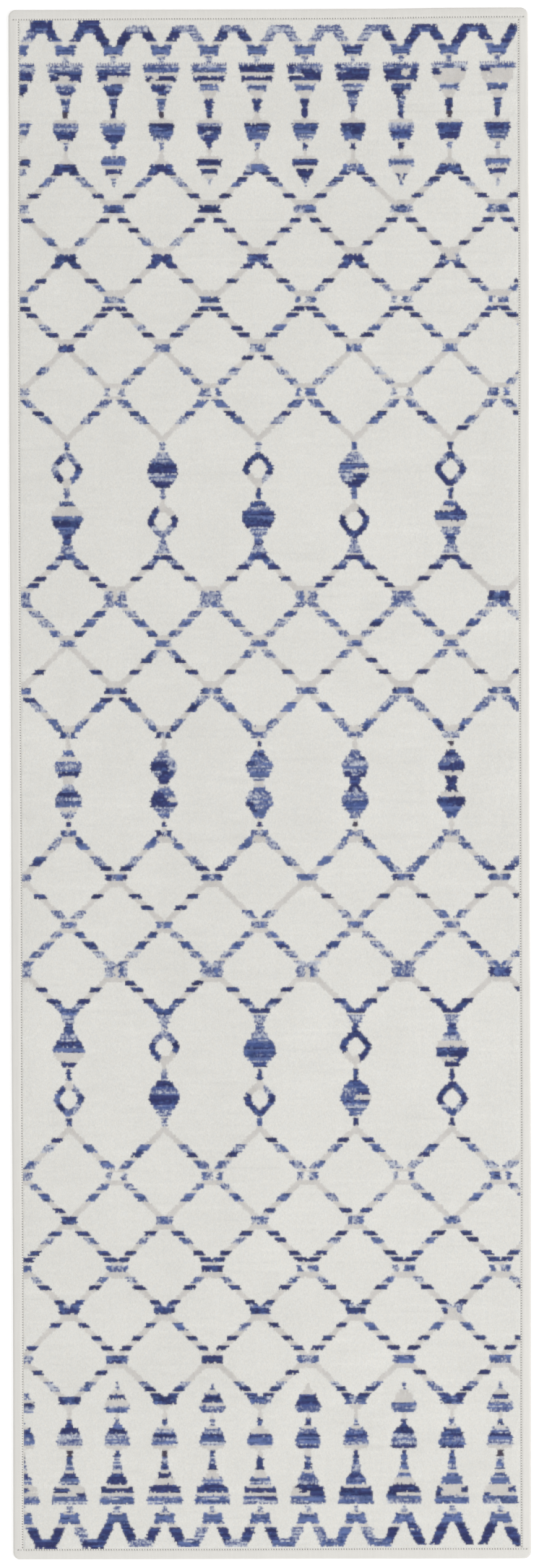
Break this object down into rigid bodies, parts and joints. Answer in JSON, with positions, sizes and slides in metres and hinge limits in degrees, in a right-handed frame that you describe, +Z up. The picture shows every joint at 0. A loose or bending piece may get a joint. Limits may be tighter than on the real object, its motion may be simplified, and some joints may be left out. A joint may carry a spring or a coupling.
{
  "type": "runner rug",
  "caption": "Long low-pile woven runner rug with a blue and grey lattice on ivory, bound on every edge with folded tape and stitched down.",
  "frame": {"origin": "on the floor under the middle of the rug, at the middle of the underside of the back coat", "axes": "+Y along the rug's length, +X across its width, +Z up out of the pile"},
  "size_m": [0.61, 1.829, 0.0072],
  "materials": {
    "pile_yarn": "matte",
    "ground_weft": "matte",
    "stuffer_warp": "matte",
    "latex_coat": "matte",
    "binding_tape": "matte",
    "sewing_thread": "satin"
  },
  "bodies": {
    "root": {"pile_field": "pile_yarn", "upper_weft": "ground_weft", "stuffer_warp": "stuffer_warp", "lower_weft": "ground_weft", "back_coat": "latex_coat", "binding_left": "binding_tape", "binding_right": "binding_tape", "binding_near_end": "binding_tape", "binding_far_end": "binding_tape", "needle_thread_left": "sewing_thread", "needle_thread_right": "sewing_thread", "needle_thread_near_end": "sewing_thread", "needle_thread_far_end": "sewing_thread", "bobbin_thread_left": "sewing_thread", "bobbin_thread_right": "sewing_thread", "bobbin_thread_near_end": "sewing_thread", "bobbin_thread_far_end": "sewing_thread"}
  },
  "joints": []
}
